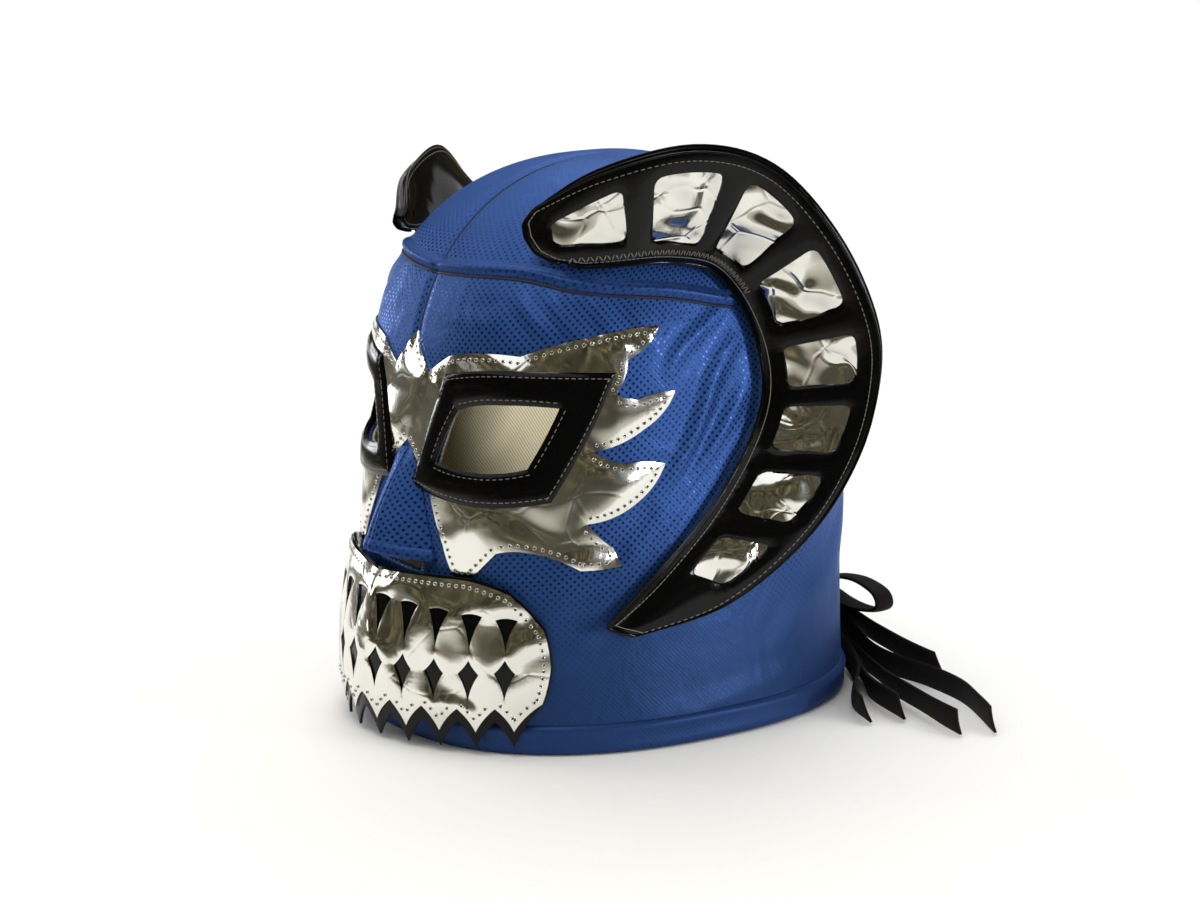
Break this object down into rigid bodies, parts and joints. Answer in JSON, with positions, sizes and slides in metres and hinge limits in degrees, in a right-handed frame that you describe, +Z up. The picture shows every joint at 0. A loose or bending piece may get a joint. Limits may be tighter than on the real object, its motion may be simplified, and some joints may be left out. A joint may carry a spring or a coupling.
{
  "type": "lucha libre mask",
  "caption": "Laced full-head wrestling mask of metallic blue stretch fabric, with black eye frames, a mirror-foil face patch, a toothed jaw plate and curled ram's-horn panels.",
  "frame": {"origin": "on the plane that the hem stands on, under the middle of the mask's width and of its depth without the loose laces", "axes": "+Z up to the crown, -Y where the face looks, +X towards the wearer's left"},
  "size_m": [0.2817, 0.2584, 0.2604],
  "materials": {
    "hood_fabric": "metallic blue stretch knit with a staggered grid of small dots, satin sheen, cream knit lining inside",
    "black_patent": "black patent vinyl, high gloss, topstitched in pale grey thread",
    "mirror_foil": "mirror-bright metallised vinyl, slightly wrinkled, with sunken stitches along its edges",
    "lace_tape": "flat woven black-brown tape, matt"
  },
  "bodies": {
    "root": {"hood": "hood_fabric", "eye_frame_left": "black_patent", "eye_frame_right": "black_patent", "face_patch": "mirror_foil", "jaw_backing": "black_patent", "jaw_foil": "mirror_foil", "horn_backing_left": "black_patent", "horn_foil_left": "mirror_foil", "horn_overlay_left": "black_patent", "horn_backing_right": "black_patent", "horn_foil_right": "mirror_foil", "horn_overlay_right": "black_patent", "back_lace": "lace_tape", "lace_knot": "lace_tape", "lace_tail_1": "lace_tape", "lace_tail_2": "lace_tape", "lace_tail_3": "lace_tape", "lace_tail_4": "lace_tape", "lace_tail_5": "lace_tape", "lace_loop": "lace_tape"}
  },
  "joints": []
}
